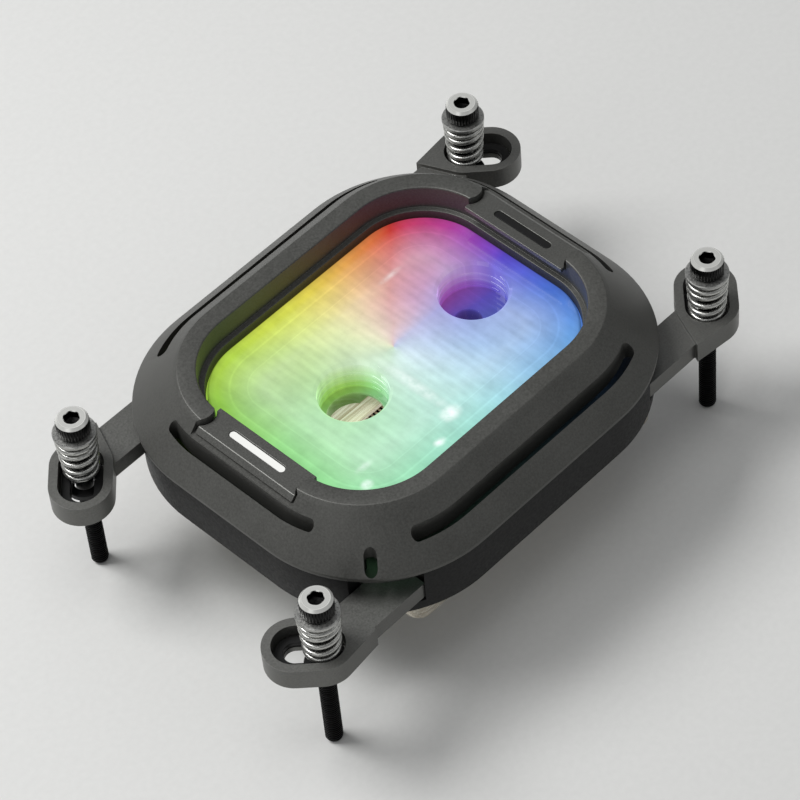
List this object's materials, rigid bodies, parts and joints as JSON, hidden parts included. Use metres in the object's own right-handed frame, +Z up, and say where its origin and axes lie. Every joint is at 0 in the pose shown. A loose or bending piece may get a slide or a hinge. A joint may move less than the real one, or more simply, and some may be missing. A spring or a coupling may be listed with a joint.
{
  "type": "water block",
  "caption": "Liquid cooling block with a lit clear window, port bores, a sloping slotted cover and sprung mounting screws on bracket arms.",
  "frame": {"origin": "centre of the mounting hole pattern, on the surface that the four screw tips stand on", "axes": "+X along the block's length, from the inlet port to the outlet port; +Y across it; +Z up, out of the window"},
  "size_m": [0.1064, 0.0684, 0.0372],
  "materials": {
    "grey_anodised": "satin grey anodised",
    "bracket_anodised": "satin grey anodised",
    "black_plastic": "fine moulded",
    "clear_acrylic": "polished clear",
    "opal_guide": "opal",
    "circuit_board": "solder mask",
    "nickel_plate": "nickel-plated copper",
    "stainless": "plain",
    "black_oxide": "black oxide",
    "spring_wire": "nickel-plated wire",
    "black_rubber": "moulded",
    "nylon": "black moulded nylon"
  },
  "bodies": {
    "block": {"cover": "grey_anodised", "end_plate_front": "grey_anodised", "end_plate_back": "grey_anodised", "light_guide": "opal_guide", "led_board": "circuit_board", "acrylic_top": "clear_acrylic", "main_seal": "black_rubber", "jet_plate": "stainless", "cold_plate": "nickel_plate", "lower_housing": "black_plastic", "mounting_bracket": "bracket_anodised", "base_screw_1": "black_oxide", "base_screw_2": "black_oxide", "base_screw_3": "black_oxide", "base_screw_4": "black_oxide", "base_screw_5": "black_oxide", "base_screw_6": "black_oxide", "cover_screw_1": "black_oxide", "cover_screw_2": "black_oxide", "cover_screw_3": "black_oxide", "cover_screw_4": "black_oxide", "screw_spring_1": "spring_wire", "slot_liner_1": "nylon", "screw_spring_2": "spring_wire", "slot_liner_2": "nylon", "screw_spring_3": "spring_wire", "slot_liner_3": "nylon", "screw_spring_4": "spring_wire", "slot_liner_4": "nylon"},
    "screw_set_1": {"mounting_screw_1": "black_oxide", "spring_washer_1": "stainless", "retaining_clip_1": "nylon"},
    "screw_set_2": {"mounting_screw_2": "black_oxide", "spring_washer_2": "stainless", "retaining_clip_2": "nylon"},
    "screw_set_3": {"mounting_screw_3": "black_oxide", "spring_washer_3": "stainless", "retaining_clip_3": "nylon"},
    "screw_set_4": {"mounting_screw_4": "black_oxide", "spring_washer_4": "stainless", "retaining_clip_4": "nylon"}
  },
  "joints": [
    {"name": "screw_press_1", "type": "slide", "parent": "block", "child": "screw_set_1", "axis": [0, 0, -1], "range_m": [0, 0.0035], "stiffness_N_per_m": 1500, "springref_m": -0.002, "deforming": ["screw_spring_1"]},
    {"name": "screw_press_2", "type": "slide", "parent": "block", "child": "screw_set_2", "axis": [0, 0, -1], "range_m": [0, 0.0035], "stiffness_N_per_m": 1500, "springref_m": -0.002, "deforming": ["screw_spring_2"]},
    {"name": "screw_press_3", "type": "slide", "parent": "block", "child": "screw_set_3", "axis": [0, 0, -1], "range_m": [0, 0.0035], "stiffness_N_per_m": 1500, "springref_m": -0.002, "deforming": ["screw_spring_3"]},
    {"name": "screw_press_4", "type": "slide", "parent": "block", "child": "screw_set_4", "axis": [0, 0, -1], "range_m": [0, 0.0035], "stiffness_N_per_m": 1500, "springref_m": -0.002, "deforming": ["screw_spring_4"]}
  ]
}
